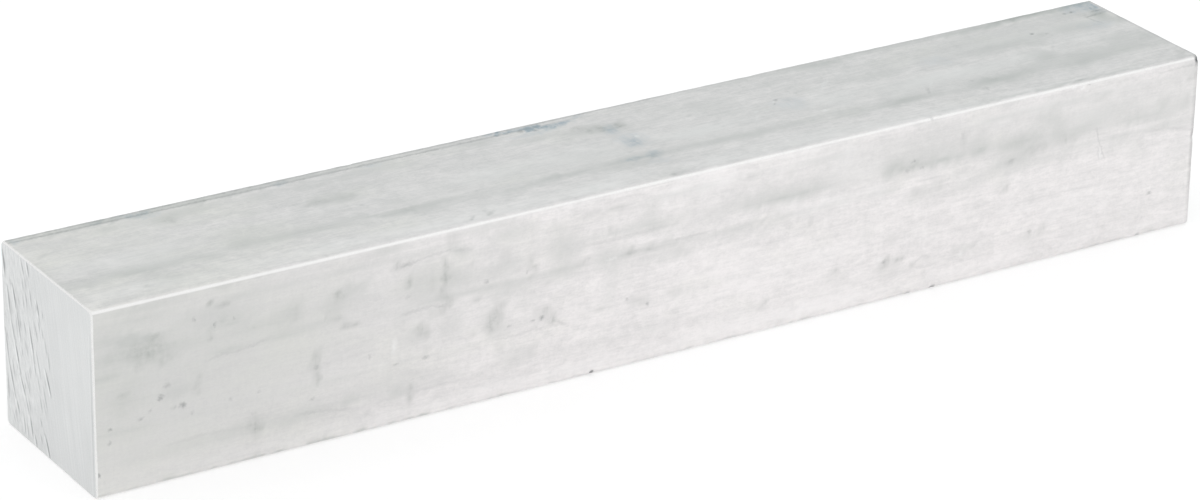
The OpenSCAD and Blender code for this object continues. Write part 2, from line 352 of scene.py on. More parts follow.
# Thin bent scratches: width, strength, and places from end to end as mm from
# the left end and mm from the side's top or back edge
SCRATCHES = {
    PHOTO_FRONT: [
        (1, 0.6, [(49.2, 4.3), (51.6, 4.1)]),
        (0.7, 0.35, [(51.2, 4.2), (54, 3.7), (56.4, 3.6), (58.8, 3.3)]),
        (0.9, 0.4, [(59.2, 3.8), (61.8, 4.1)]),
        (0.7, 0.35, [(18, 12), (20.5, 11.5), (22.8, 11.6), (25.2, 11.3), (28.2, 10.6)]),
        (0.8, 0.42, [(50, 12.2), (52.4, 12), (55, 11.8), (57.6, 12.4)]),
        (0.7, 0.35, [(66, 20), (69.4, 20.1), (72.2, 19.8), (74.4, 19.9), (77.8, 20.1)]),
        (0.8, 0.4, [(76.4, 19.4), (77.8, 20.1)]), (0.6, 0.3, [(76.6, 17), (77.6, 17.6)]),
        (0.8, 0.25, [(12, 23.8), (17, 23.6), (24, 23.9)]),
        (0.8, 0.3, [(33, 24.2), (36.5, 24.5), (41, 25.3)]), (0.8, 0.25, [(52, 25), (57, 25.1), (62, 25.4)]),
        (0.8, 0.22, [(88.6, 10.9), (91.6, 10.8), (94.6, 11.6)]),
        (0.8, 0.3, [(81, 8), (88, 8.1), (96, 7.9)]), (0.8, 0.35, [(95.4, 10.5), (100, 10.6), (104, 10.4)]),
        (0.7, 0.35, [(142.6, 24.6), (143.8, 23.8), (145.4, 24)]),
        (0.7, 0.3, [(142.4, 25.2), (144.6, 25.7), (146.6, 25.6)]),
        (0.5, 0.5, [(178.6, 8.8), (178.9, 10.6), (179.6, 12.4), (180.1, 14.2)]),
        (0.5, 0.4, [(178.9, 12), (179, 14.2)]), (0.7, 0.25, [(163, 18.6), (171, 18.5), (180, 18.7)]),
        (0.8, 0.3, [(189, 11.3), (194, 11.8), (198, 12.6)]),
    ],
    FRONT: [
        (0.5, 0.35, [(192.6, 1.4), (196, 1.35), (199.4, 1.3)]),
    ],
    TOP: [
        (0.9, 0.6, [(63.3, 28.7), (64, 28), (64.7, 27.2)]),
        (0.9, 0.45, [(152, 21.8), (152.7, 20.4), (153.4, 19.2)]), (0.8, 0.5, [(161.3, 25), (161.7, 23.6)]),
        (0.8, 0.35, [(181, 15.6), (181.9, 14.4)]), (0.7, 0.5, [(194.6, 7), (194.8, 8.6), (195.3, 10.2)]),
        (1, 0.8, [(194.6, 6.8), (196.8, 6.5), (199, 6.1)]),
        (0.9, 0.75, [(-6, 1.05), (24, 1.05), (54, 1.05), (84, 1.1), (112, 1.1)]),
        (0.9, 0.75, [(-6, 2), (20, 2.2), (44, 2.3), (70, 2.3), (92, 2.2)]),
        (0.8, 0.25, [(108, 1.15), (130, 1.15), (160, 1.2), (200, 1.2)]),
        (0.9, 0.35, [(199.6, -1), (199.6, 9), (199.6, 19), (199.6, 31)]),
    ],
    BACK: [
        (0.8, 0.6, [(34, 9), (39, 8.6), (44, 8.9), (47, 8.2)]),
        (0.8, 0.5, [(118, 19.4), (121, 20.2), (127, 20.3)]),
        (0.7, 0.6, [(160.4, 12), (161.2, 14.6), (162.4, 17)]),
    ],
    UNDERSIDE: [
        (0.9, 0.6, [(52, 8), (60, 9.2), (68, 9.6)]), (0.8, 0.6, [(140, 22), (143, 20.4), (149, 19.8)]),
    ],
}
# Places where the metal is polished a little paler
BRIGHT_MARKS = {
    TOP: [
        (102.4, 13.2, 1.4, 1.4, 1), (133.8, 19.1, 2, 1.1, 1, 30), (123.9, 14.2, 1.6, 0.9, 0.8, 30),
        (139.4, 10.2, 5.6, 0.7, 0.6, 50), (140.6, 9.4, 5, 0.6, 0.5, 50), (154.8, 18.2, 3.6, 0.7, 0.6, 50),
        (122.6, 16.4, 3.6, 0.6, 0.5, 50), (128.8, 11.9, 1.4, 0.6, 0.9, 35),
    ],
    PHOTO_FRONT: [
        (48.6, 17, 1.4, 3.4, 0.7), (86.2, 11.2, 3, 0.7, 0.6), (151.4, 25, 2, 1, 0.6),
        (179.4, 13.4, 0.7, 2.6, 0.8, 12), (135.6, 22.4, 2.4, 1.4, 0.5),
    ],
    FRONT: [
        (199.5, 14.7, 1.2, 1, 1), (174.6, 0.5, 1.2, 0.9, 1), (176.3, 0.9, 1.4, 0.8, 1, 30),
        (177.2, 1.6, 1.2, 0.6, 0.7, 30),
    ],
}
# Wide bands of paler metal, where the die ran smoother, and some painted highlights
PALE_BANDS_AND_HIGHLIGHTS = {
    PHOTO_FRONT: [
        (34, 19.6, 40, 4, 0.25), (80, 28.2, 16, 3, 0.3), (120, 28, 16, 3, 0.25), (190, 28.4, 30, 2.4, 0.25),
        (103, 2.3, 24, 3, 0.7), (124, 2.4, 30, 2.6, 0.35), (158, 3, 12, 3.4, 0.35),
        (172, 2.6, 50, 2.4, 0.4), (130, 6.4, 15, 7, 0.4), (128, 10.6, 24, 2.2, 0.35),
        (178, 6.2, 12, 5, 0.4), (112, 20, 56, 12, 0.2), (143, 20.2, 8, 5, 0.2), (172, 20, 16, 7, 0.15),
        (27, 17, 16, 8, 0.15),
    ],
    FRONT: [
        # The first band, along the whole bottom of the front, is painted light from the bright floor below
        (100, 28.2, 240, 3.8, 0.45), (136, 10.2, 6, 4.4, 0.45), (80.5, 0.9, 12, 2.2, 0.35),
        (104.6, 0.8, 14, 2, 0.4), (122.6, 0.9, 20, 2.2, 0.35), (129.2, 10.1, 8, 2.6, 0.3),
        (119.8, 9, 10, 3.2, 0.35), (129.5, 3.2, 8, 6, 0.25), (105.4, 3.4, 14, 6, 0.2),
        (96, 24.6, 8, 4, 0.25), (84.6, 26, 6, 4, 0.25), (66.8, 16.9, 4, 2.4, 0.3), (149.6, 7.5, 7, 4, 0.4),
        (164.6, 26.4, 6, 2.4, 0.3), (38.8, 26.9, 4, 3, 0.25), (177.7, 26.7, 9, 3.6, 0.35),
        (129.5, 26.6, 20, 6, 0.35), (110.5, 26.4, 28, 4, 0.28), (141.2, 25.3, 3.6, 4, 0.35),
        (122.5, 10.8, 12, 3, 0.35), (128.8, 10.5, 8, 3.4, 0.25), (119.3, 8.1, 8, 4.4, 0.25),
        (66.3, 26.8, 12, 2.4, 0.35), (163.8, 19.3, 10, 3, 0.3), (126.5, 19, 10, 4.6, 0.3),
        (171.5, 22, 5, 5, 0.25), (97.8, 2.6, 9, 3.6, 0.3), (131.5, 2.4, 3.4, 5, 0.3),
        (178.5, 22.3, 9, 13, 0.2),
    ],
    TOP: [
        # Bands near the front edge, from about 27 mm across, widen its highlight onto the top: there they
        # are painted highlight
        (8, 15.2, 26, 7, 0.28), (15, 18.8, 16, 2.8, 0.3), (50, 14.8, 18, 3, 0.2), (76, 14.2, 18, 8, 0.45),
        (88, 13.8, 14, 6, 0.3), (92, 17.4, 16, 6, 0.35), (60, 26.8, 130, 5.6, 0.38),
        (43, 26, 14, 4.6, 0.22), (86, 27.4, 14, 3.6, 0.25), (120, 27, 46, 5.4, 0.3), (104, 13, 8, 6, 0.25),
        (113, 16, 22, 4.6, 0.6), (115, 19.4, 16, 2.4, 0.3), (138, 15, 13, 9, 0.35),
        (149, 18.8, 14, 3.4, 0.35), (162, 16.2, 42, 6, 0.55), (186, 13.6, 18, 5, 0.2),
        (150, 28.6, 120, 3, 0.45), (150, 29.4, 60, 1.8, 0.4), (176, 8.6, 60, 3.4, 0.3),
        (190, 8.4, 14, 2.6, 0.25), (97, 0.7, 8, 1.2, 0.4), (124, 0.7, 6, 1.2, 0.6), (84, 16.6, 28, 8, 0.2),
        (146, 20.4, 8, 2.6, 0.3), (176, 16.4, 10, 4, 0.2), (84, 12.8, 26, 5, 0.2),
        (111, 28.6, 12, 2.6, 0.3), (12, 25.6, 26, 3, 0.2), (99, 14, 4, 7, 0.25), (85.4, 28.1, 15, 5, 0.55),
        (40, 27.4, 18, 6, 0.45), (138.3, 16.2, 6.4, 5, 0.45), (110.4, 16.5, 16, 4.6, 0.45),
        (94.2, 13.8, 12, 10, 0.4), (72.6, 14.8, 15, 7, 0.4), (13.5, 17, 22, 10, 0.35),
        (9, 25.6, 20, 6, 0.35), (153.5, 16.5, 9, 5, 0.4), (126.5, 26.4, 13, 6, 0.35),
        (91, 25.4, 18, 6, 0.3), (139, 27, 30, 3.4, 0.25), (64, 28.1, 24, 3.6, 0.3), (164, 17.5, 24, 6, 0.2),
        (74.8, 28.2, 13, 3.8, 0.35), (95.6, 19.4, 5.8, 7, 0.35), (107, 27.2, 4, 4.8, 0.4),
        (135, 19.9, 3, 2.6, 0.45), (20.5, 14.5, 9, 6, 0.3), (4, 14.8, 9, 7, 0.3), (86, 14.8, 11, 7, 0.3),
        (57.2, 28, 16, 3.6, 0.3), (130.2, 14.9, 6.6, 4, 0.35),
    ],
}
# Traces of a blue marker that the cleaning left
BLUE_TRACES = {
    TOP: [
        (21, 1.6, 8, 2.2, 0.65), (22.6, 3, 6, 1.8, 0.35), (45.6, 2, 4, 2.2, 0.55), (0.8, 2.4, 4, 4, 0.35),
        (84.5, 1.6, 8, 2, 0.9), (90.4, 2.5, 7, 2.6, 1.8, -8), (94.6, 2.9, 7, 2.2, 0.8),
        (98.4, 1.9, 5, 2, 0.45), (89, 4.4, 13, 2.6, 0.35), (100.4, 8.8, 5, 4.4, 0.5), (101, 14, 8, 9, 0.3),
        (100.4, 15, 4, 5, 0.3), (101, 20.2, 4.6, 3.4, 0.55), (96.8, 20.8, 6, 2.4, 0.45),
        (130.4, 14, 10, 8.4, 0.25), (196.4, 2.6, 11, 6.8, 0.45), (198.4, 4.4, 4, 6, 0.4),
        (194, 10.2, 10, 6.4, 0.25), (161, 10.6, 10, 8, 0.2), (61, 2.8, 6, 2.4, 0.3),
        (14.6, 1.9, 5, 1.8, 0.3), (100, 23, 8, 4, 0.2),
    ],
}
# Dull streaks along the whole bar: mm from the side's top or back edge at the
# left and at the right end, half width, and least and greatest strength
DIE_STREAKS = {
    TOP: [
        (19.9, 21.9, 1.3, 0.1, 0.28), (16.5, 18, 4, 0.06, 0.2), (9, 9, 1.6, 0, 0.15),
    ],
    FRONT: [
        (2.9, 2.9, 0.5, 0, 0.3), (10.7, 11, 0.5, 0, 0.35), (8, 8.2, 1, 0, 0.2), (20, 18.7, 0.4, 0, 0.15),
        (24.6, 25.2, 0.8, 0, 0.15),
    ],
    BACK: [
        (8.5, 8, 1.4, 0.05, 0.35), (21.5, 22, 0.8, 0, 0.3),
    ],
    UNDERSIDE: [
        (12, 12.6, 1.6, 0.05, 0.4),
    ],
}
# A mark fades toward its ends, so the stretches of a bent scratch overlap
STRETCH_OVERLAP = 1.7
# How far in mm the rims of rubs, haze and traces wander along and across the
# bar, how their waves lean, and how steeply the marks fade toward their rims
RIM_WANDER_ALONG = 0.9
RIM_WANDER_ACROSS = 0.8
RIM_LEAN_ALONG = 0.6
RIM_LEAN_ACROSS = -0.4
MARK_FADE = 1.5
STREAK_WANDER = 0.6
STREAK_FADE = 2.5
# On the hidden sides: how far the marks' middles stay from the edges, in mm,
# and how much they are turned, in degrees
HIDDEN_MARGIN = 3
HIDDEN_TILT = 6


def ripple(along, waves, seed):
    """A smooth uneven wave between 0 and 1, made of waves of many lengths."""
    rng = np.random.default_rng(seed)
    lengths = np.geomspace(*waves, WAVE_COUNT)
    phases = rng.uniform(0, 2 * math.pi, WAVE_COUNT)
    heights = rng.uniform(0.5, 1.0, WAVE_COUNT)
    wave = sum(h * np.sin(2 * math.pi * along / w + p) for h, w, p in zip(heights, lengths, phases))
    return np.clip(0.5 + 0.5 * wave / np.sqrt((heights ** 2).sum()), 0, 1)


def picture_map(corners):
    """The matrix that takes mm on the front side to a picture, from its corners in the picture."""
    rows, values = [], []
    for (x, v), (across, down) in zip([(0, 0), (LENGTH, 0), (LENGTH, WIDTH), (0, WIDTH)], corners):
        rows.append([x, v, 1, 0, 0, 0, -across * x, -across * v])
        rows.append([0, 0, 0, x, v, 1, -down * x, -down * v])
        values += [across, down]
    return np.append(np.linalg.solve(rows, values), 1).reshape(3, 3)


PHOTO_TO_SIDE = np.linalg.inv(picture_map(CAMERA_CORNERS)) @ picture_map(PHOTO_CORNERS)


def moved_place(x, v):
    """A place read off the photo's front side, moved for the camera, to a tenth of a millimetre."""
    moved_x, moved_v, scale = PHOTO_TO_SIDE @ (x, v, 1)
    v += SHARE_ACROSS * (moved_v / scale - v)
    return round(float(min(moved_x / scale, FARTHEST_PLACE)), 1), round(float(v), 1)


def moved_mark(mark):
    """A mark of the photo's front side, moved for the camera."""
    x, v, *rest = mark
    return (*moved_place(x, v), *rest)


def moved_nick(nick):
    """A nick in the bottom front edge, moved for the camera."""
    x, *rest = nick
    return (moved_place(x, WIDTH)[0], *rest)


def moved_scratch(scratch):
    """A bent scratch of the photo's front side, moved for the camera."""
    width, strength, places = scratch
    return width, strength, [moved_place(*place) for place in places]


def on_sides(by_side, moved=moved_mark):
    """What is listed by side as one list, with the side first, and moved for the camera where needed."""
    made = []
    for side, listed in by_side.items():
        if side == PHOTO_FRONT:
            made += [(FRONT, *moved(entry)) for entry in listed]
        else:
            made += [(side, *entry) for entry in listed]
    return made


def side_profile(finer=1):
    """One side of the section, from the middle of one round edge to the middle of the next.

    Gives each point's place across the side and below the flat, and the way
    that the skin faces there.
    """
    flat_half = HALF_WIDTH - EDGE_RADIUS
    half_round = ROUND_STEPS // 2
    coarse_turn = np.radians(np.linspace(45, 0, half_round + 1))
    between = np.linspace(-flat_half + HOLD, flat_half - HOLD, FLAT_STEPS - 1)
    flats = np.concatenate([[-flat_half], between, [flat_half]])
    turn = np.concatenate([-coarse_turn, np.zeros(FLAT_STEPS - 1), coarse_turn[::-1]])
    centre = np.concatenate([np.full(half_round, -flat_half), flats, np.full(half_round, flat_half)])
    steps = np.arange(len(turn))
    fine_steps = np.linspace(0, len(turn) - 1, (len(turn) - 1) * finer + 1)
    turn = np.interp(fine_steps, steps, turn)
    centre = np.interp(fine_steps, steps, centre)
    facing = np.stack([np.sin(turn), np.cos(turn)], 1)
    place = np.stack([centre, np.zeros(len(turn))], 1) + EDGE_RADIUS * (facing - [0, 1])
    return place, facing


def turned(points, side):
    """Points given across a side and out from it, as across and up from the bar's axis."""
    outward = [(0, 1), (1, 0), (0, -1), (-1, 0)][side]
    onward = [(1, 0), (0, -1), (-1, 0), (0, 1)][side]
    return points @ np.array([onward, outward], float)


def section_ring(finer):
    """The outline of the section, once round from the front top edge, with each point's side."""
    places, facings, sides, across = [], [], [], []
    for side in SIDES:
        place, facing = side_profile(finer[side])
        place, facing = place[:-1], facing[:-1]
        places.append(turned(place + [0, HALF_WIDTH], side))
        facings.append(turned(facing, side))
        sides.append(np.full(len(place), side))
        across.append(place[:, 0] + HALF_WIDTH)
    return tuple(np.concatenate(parts) for parts in (places, facings, sides, across))


def stations():
    """Places along the bar that have a ring of points, closer together at the nicks."""
    start = HALF_LENGTH - STATION_MARGIN
    places = list(np.arange(-start, start + STATION_GAP / 2, STATION_GAP))
    for _, from_left, half_length, _ in on_sides(EDGE_NICKS, moved_nick):
        reach = NICK_REACH * half_length
        places += list(from_left - HALF_LENGTH + np.arange(-reach, reach, NICK_STATION_GAP))
    return np.unique(np.round(np.array(places) / NICK_STATION_GAP) * NICK_STATION_GAP)


def edge_share(ring):
    """1 in the middle of each round edge, falling to 0 where the flats start."""
    _, facing, _, _ = ring
    return np.abs(facing[:, 0] * facing[:, 1]) * 2


def skin_depth(ring, along):
    """How far each point of the long sides lies below the CAD surface, and the painted shade of its nicks.
    """
    _, _, sides, across = ring
    depth = np.zeros((len(along), len(sides)))
    bare = np.zeros_like(depth)
    middle = across - HALF_WIDTH
    depth += HOLLOW_DEPTH * np.clip(1 - (middle / (HALF_WIDTH - EDGE_RADIUS)) ** 2, 0, 1)
    for side in SIDES:
        rng = np.random.default_rng(LINE_SEED + side)
        here = sides == side
        for line in range(DIE_LINES_A_SIDE):
            centre = rng.uniform(DIE_LINE_MARGIN, WIDTH - DIE_LINE_MARGIN)
            half_width = rng.uniform(*DIE_LINE_HALF_WIDTHS)
            strength = 0.5 + 0.5 * ripple(along, DIE_LINE_WAVES, LINE_WAVE_SEED * side + line)
            valley = np.exp(-((across - centre) / half_width) ** 2) * here
            depth += DIE_LINE_DEPTH * rng.uniform(*DIE_LINE_SHARES) * strength[:, None] * valley
    rounds = edge_share(ring)
    for edge in SIDES:
        distance = ring_distance(ring, edge)
        beside = rounds * (distance < 2 * EDGE_RADIUS)
        depth += EDGE_WEAR_DEPTH * ripple(along, WEAR_WAVES, WEAR_SEED + edge)[:, None] ** 2 * beside
        edge_nicks = [nick for nick in on_sides(EDGE_NICKS, moved_nick) if nick[0] == edge]
        for _, from_left, half_length, nick_depth in edge_nicks:
            lengthwise = np.exp(-((along + HALF_LENGTH - from_left) / half_length) ** 4)
            crosswise = np.exp(-(distance / NICK_SPREAD) ** 2)
            nick = lengthwise[:, None] * crosswise
            depth += nick_depth * nick
            # Nicks get painted shade, darker the deeper they are
            bare = np.maximum(bare, nick * min(1, nick_depth / DARK_NICK_DEPTH))
    return depth, bare


def ring_distance(ring, edge):
    """How far round the section each point is from the middle of an edge."""
    places, _, _, _ = ring
    corner = places[edge * (ROUND_STEPS + FLAT_STEPS)]
    return np.linalg.norm(places - corner, axis=1)


def skin_places(ring, along):
    """Each skin point's mm from the left end, and from its side's top or back edge."""
    places, _, sides, _ = ring
    lies_flat = (sides == TOP) | (sides == UNDERSIDE)
    from_edge = HALF_WIDTH - np.where(lies_flat, places[:, 0], places[:, 1])
    return np.meshgrid(along + HALF_LENGTH, from_edge, indexing="ij")


def soft_marks(ring, along, listed):
    """How strongly the listed soft marks cover each point of the long sides, from 0 to 1."""
    _, _, sides, _ = ring
    x, v = skin_places(ring, along)
    first_seed, second_seed = RIM_SEEDS
    x = x + RIM_WANDER_ALONG * (ripple(v + RIM_LEAN_ALONG * x, RIM_WAVES, first_seed) - 0.5)
    v = v + RIM_WANDER_ACROSS * (ripple(x + RIM_LEAN_ACROSS * v, RIM_WAVES, second_seed) - 0.5)
    cover = np.zeros_like(x)
    for side, from_left, across, length, height, strength, *tilt in listed:
        # Most marks have no tilt
        turn = math.radians(sum(tilt))
        dx, dv = x - from_left, v - across
        # A positive tilt turns the mark's right end up, or to the back
        lengthwise = (dx * math.cos(turn) - dv * math.sin(turn)) / (length / 2)
        crosswise = (dx * math.sin(turn) + dv * math.cos(turn)) / (height / 2)
        near = np.clip(1 - lengthwise ** 2 - crosswise ** 2, 0, 1) ** MARK_FADE
        cover += strength * near * (sides == side)
    return np.clip(cover, 0, 1)


def die_streaks(ring, along):
    """Dull streaks that the die leaves along the whole bar, stronger in some places."""
    _, _, sides, _ = ring
    x, v = skin_places(ring, along)
    cover = np.zeros_like(x)
    for number, streak in enumerate(on_sides(DIE_STREAKS)):
        side, at_left, at_right, half_width, least, most = streak
        strength = least + (most - least) * ripple(x, STREAK_WAVES, STREAK_SEED + number)
        wander = STREAK_WANDER * (ripple(x, STREAK_PATH_WAVES, STREAK_PATH_SEED + number) - 0.5)
        centre = at_left + (at_right - at_left) * x / LENGTH + wander
        cover += strength * np.exp(-np.abs((v - centre) / half_width) ** STREAK_FADE) * (sides == side)
    return cover


def hidden_marks(seed, count, length, height, strength):
    """Marks of a listed kind for the back and the underside, which the photo doesn't show."""
    rng = np.random.default_rng(seed)
    made = []
    for number in range(count):
        # Three of each five are on the back
        side = BACK if number % 5 < 3 else UNDERSIDE
        from_left = rng.uniform(HIDDEN_MARGIN, LENGTH - HIDDEN_MARGIN)
        across = rng.uniform(HIDDEN_MARGIN, WIDTH - HIDDEN_MARGIN)
        size = rng.uniform(*length), rng.uniform(*height)
        tilt = rng.normal(0, HIDDEN_TILT)
        made.append((side, from_left, across, *size, rng.uniform(*strength), tilt))
    return made


def stretches(scratches):
    """Bent scratches as straight marks, one between each two of their places."""
    made = []
    for side, width, strength, places in on_sides(scratches, moved_scratch):
        for (x, v), (next_x, next_v) in zip(places, places[1:]):
            length = math.hypot(next_x - x, next_v - v) * STRETCH_OVERLAP
            tilt = math.degrees(math.atan2(v - next_v, next_x - x))
            made.append((side, (x + next_x) / 2, (v + next_v) / 2, length, width, strength, tilt))
    return made


def bevel_size(ring, end):
    """The filed bevel's size round an end, uneven and wider at the chips, and its painted shade at the
    chips.
    """
    places, _, sides, across = ring
    round_the_end = np.cumsum(np.linalg.norm(np.diff(places, axis=0, prepend=places[:1]), axis=1))
    uneven = ripple(round_the_end, BEVEL_WAVES, BEVEL_SEED + end)
    size = END_BEVEL * (BEVEL_LEAST + BEVEL_SWING * uneven)
    dark = np.zeros_like(size)
    for chip_end, side, chip_across, half_width, extra, darkness in BEVEL_CHIPS:
        if chip_end == end:
            near = np.exp(-((across - chip_across) / half_width) ** 2) * (sides == side)
            size = size + extra * END_BEVEL * near
            dark = np.maximum(dark, darkness * near)
    return size, dark


def segment_distance(points, start, end):
    """Each point's distance from a straight stretch, and its share of the way along it."""
    along = end - start
    share = np.clip((points - start) @ along / (along @ along), 0, 1)
    return np.linalg.norm(points - (start + share[:, None] * along), axis=1), share


def random_grooves(seed, count, farthest, length, depth):
    """Saw grooves that lean as the listed ones do, up to a distance from the back edge."""
    rng = np.random.default_rng(seed)
    grooves = []
    for _ in range(count):
        start = rng.uniform(GROOVES_FROM, [farthest, WIDTH - GROOVES_END_SHORT])
        # The saw's arc makes the grooves lean more toward the bottom
        lean = math.radians(rng.uniform(*GROOVE_LEANS) + GROOVE_ARC * start[1])
        stop = start + rng.uniform(*length) * np.array([math.sin(lean), math.cos(lean)])
        grooves.append((*start, *stop, rng.uniform(*depth)))
    return grooves


def end_grooves(end):
    """The deep and the fine saw grooves of an end."""
    fine = random_grooves(
        FINE_GROOVE_SEED + end, count=60, farthest=14, length=(0.8, 3.0), depth=(0.015, 0.05))
    if end == LEFT:
        return SAW_GROOVES + fine
    deep = random_grooves(
        RIGHT_GROOVE_SEED, count=12, farthest=WIDTH - 6, length=(3, 8), depth=(0.04, 0.1))
    return deep + fine


def saw_depth(points, end):
    """How deep the saw has cut below the end's plane, and how its grooves are painted darker as dirt and
    shade and their rims paler as a highlight.
    """
    from_back = HALF_WIDTH + end * points[:, 0]
    down = HALF_WIDTH - points[:, 1]
    place = np.stack([from_back, down], 1)
    # The waves are full and lean near the back edge, and are faint near the front
    lean = SAW_LEAN * np.clip(1.2 - from_back / WIDTH, 0, 1)
    full = np.clip(1.25 - 1.5 * from_back / WIDTH, SAW_LEAST, 1)
    phase = (from_back - lean * down + SAW_ARC * down ** 2) / SAW_PITCH
    uneven = ripple(from_back + 0.3 * down, SAW_WAVES, SAW_WAVE_SEED + end)
    depth = SAW_WAVE_DEPTH * (0.5 + 0.5 * np.sin(2 * math.pi * phase)) * uneven * full
    groove = np.zeros(len(points))
    rim = np.zeros(len(points))
    for *ends, groove_depth in end_grooves(end):
        start, stop = np.array(ends[:2]), np.array(ends[2:])
        distance, share = segment_distance(place, start, stop)
        taper = np.sin(math.pi * np.clip(share, GROOVE_TIP, 1 - GROOVE_TIP)) ** 0.5
        cut = np.exp(-(distance / GROOVE_HALF_WIDTH) ** 2) * taper
        depth = np.maximum(depth, groove_depth * cut)
        groove = np.maximum(groove, cut * groove_depth / DEEPEST_GROOVE)
        # A bright rim on the groove's back side is a painted highlight
        distance, share = segment_distance(place + [RIM_OFFSET, 0], start, stop)
        rim_highlight = np.exp(-(distance / GROOVE_HALF_WIDTH) ** 2) * (groove_depth / DEEPEST_GROOVE)
        rim = np.maximum(rim, rim_highlight * (share > 0) * (share < 1))
    return depth, np.clip(groove, 0, 1), np.clip(rim - groove, 0, 1)


# What each point of the skin carries beside its place: painted shade in a nick
# or chip, a saw groove darkened by dirt and painted shade with its rim paler as a
# painted highlight, a grey rub, a dull haze with some painted shade, a pale band
# with some painted highlights and a trace of blue, each from 0 to 1
WEAR_AND_PAINTED_LIGHT_KINDS = ("bare", "groove", "rim", "rub", "haze", "pale", "blue")
# What each face is finished like
MILL_FINISH, FILED, SAWN = range(3)


class Skin:
    """The bar's skin as it is put together: points with their wear and painted light and shade, faces and
    each face's finish.
    """

    def __init__(self):
        self.points, self.faces, self.finishes = [], [], []
        self.wear_and_shading = {kind: [] for kind in WEAR_AND_PAINTED_LIGHT_KINDS}
        self.count = 0

    def add_points(self, x, across_up, **wear_and_shading):
        """Adds points and gives back their numbers."""
        n = len(across_up)
        self.points.append(np.column_stack([np.broadcast_to(x, n), across_up]))
        for kind in WEAR_AND_PAINTED_LIGHT_KINDS:
            self.wear_and_shading[kind].append(np.broadcast_to(wear_and_shading.get(kind, 0.0), n))
        numbers = np.arange(self.count, self.count + n)
        self.count += n
        return numbers

    def add_faces(self, faces, finish):
        """Adds faces, given by the numbers of their points."""
        faces = np.asarray(faces)
        self.faces += faces.tolist()
        self.finishes += [finish] * len(faces)

    def join_rings(self, first, second, finish):
        """A band of four-sided faces between two rings of as many points."""
        self.add_faces(np.column_stack([first, second, np.roll(second, -1), np.roll(first, -1)]), finish)


def end_cap(skin, border, border_size, end):
    """Closes one end with a fine net of faces that carries the saw grooves."""
    ring = section_ring(CAP_FINER)
    places, facing, sides, _ = ring
    closed_size = np.append(border_size, border_size[0])
    inset = np.interp(np.arange(len(sides)), cap_starts(), closed_size)
    rim = places - facing * (inset + HOLD)[:, None]
    steps = ROUND_STEPS + FLAT_STEPS
    wide, high = steps * CAP_FINER[TOP], steps * CAP_FINER[BACK]
    top = rim[:wide + 1]
    back = rim[wide:wide + high + 1][::-1]
    under = rim[wide + high:2 * wide + high + 1][::-1]
    front = np.concatenate([rim[2 * wide + high:], rim[:1]])
    u = np.linspace(0, 1, wide + 1)[:, None, None]
    v = np.linspace(0, 1, high + 1)[None, :, None]
    # A net between the four borders, less what counts the corners twice
    net = (1 - v) * under[:, None] + v * top[:, None] + (1 - u) * front[None] + u * back[None]
    net = net - (1 - u) * (1 - v) * under[0] - u * (1 - v) * under[-1]
    net = net - (1 - u) * v * top[0] - u * v * top[-1]
    points = net.reshape(-1, 2)
    depth, groove, rim_highlight_share = saw_depth(points, end)
    wear_and_shading = {"groove": groove, "rim": rim_highlight_share}
    numbers = skin.add_points(end * (HALF_LENGTH - depth), points, **wear_and_shading).reshape(wide + 1, high + 1)
    corners = [numbers[:-1, :-1], numbers[:-1, 1:], numbers[1:, 1:], numbers[1:, :-1]]
    quads = np.stack(corners, -1).reshape(-1, 4)
    skin.add_faces(quads if end == LEFT else quads[:, ::-1], SAWN)
    loop = np.concatenate([numbers[:, -1], numbers[-1, ::-1][1:], numbers[::-1, 0][1:], numbers[0, 1:-1]])
    stitch(skin, border, loop, end)


def cap_starts():
    """Where each point of the long sides' ring comes in the cap's finer one, and its length."""
    starts = [0]
    for side in SIDES:
        starts += list(starts[-1] + CAP_FINER[side] * np.arange(1, ROUND_STEPS + FLAT_STEPS + 1))
    return np.array(starts)


def stitch(skin, coarse, fine, end):
    """Joins a coarse ring to a finer one inside it with triangles."""
    starts = cap_starts()
    faces = []
    for k, corner in enumerate(coarse):
        following = coarse[(k + 1) % len(coarse)]
        run = [fine[i % len(fine)] for i in range(starts[k], starts[k + 1] + 1)]
        half = len(run) // 2
        faces.append((corner, run[half], following))
        faces += [(corner, run[i], run[i + 1]) for i in range(half)]
        faces += [(following, run[i], run[i + 1]) for i in range(half, len(run) - 1)]
    faces = np.array(faces)
    skin.add_faces(faces[:, ::-1] if end == LEFT else faces, SAWN)


def side_wear_and_shading(ring, along):
    """How strongly each kind of soft wear, painted shade and painted highlight covers each point of the
    long sides, by name.
    """
    hidden_rubs = hidden_marks(
        HIDDEN_RUB_SEED, count=20, length=(2, 7), height=(3, 9), strength=(0.3, 0.8))
    hidden_haze = hidden_marks(
        HIDDEN_HAZE_SEED, count=16, length=(12, 40), height=(3, 8), strength=(0.2, 0.45))
    haze = soft_marks(ring, along, on_sides(HAZE_AND_SHADE) + hidden_haze)
    return {
        "rub": soft_marks(ring, along, on_sides(RUBS) + hidden_rubs),
        "haze": np.clip(haze + die_streaks(ring, along), 0, 1),
        "pale": soft_marks(ring, along, on_sides(PALE_BANDS_AND_HIGHLIGHTS)),
        "blue": soft_marks(ring, along, on_sides(BLUE_TRACES)),
    }


def bevel_rings(skin, ring, end, side_depth, rub, haze):
    """Adds an end's filed bevel ring by ring, and gives back the rings and the bevel's size."""
    places, facing, _, _ = ring
    size, dark = bevel_size(ring, end)
    # Along the bar and in from the surface: beside the bevel, its two edges
    # and its slightly rounded middle
    middle = BEVEL_MIDDLE * size
    steps = [(size + HOLD, 0 * size), (size, 0 * size), (middle, middle), (0 * size, size)]
    rings = []
    for back, inward in steps:
        across_up = places - facing * (inward + side_depth * (inward < size))[:, None]
        x = HALF_LENGTH - back
        # The last ring lies on the sawn face
        if back is steps[-1][0]:
            x = x - saw_depth(across_up, end)[0]
        rings.append(skin.add_points(end * x, across_up, rub=rub, haze=haze, bare=dark))
    return rings, size


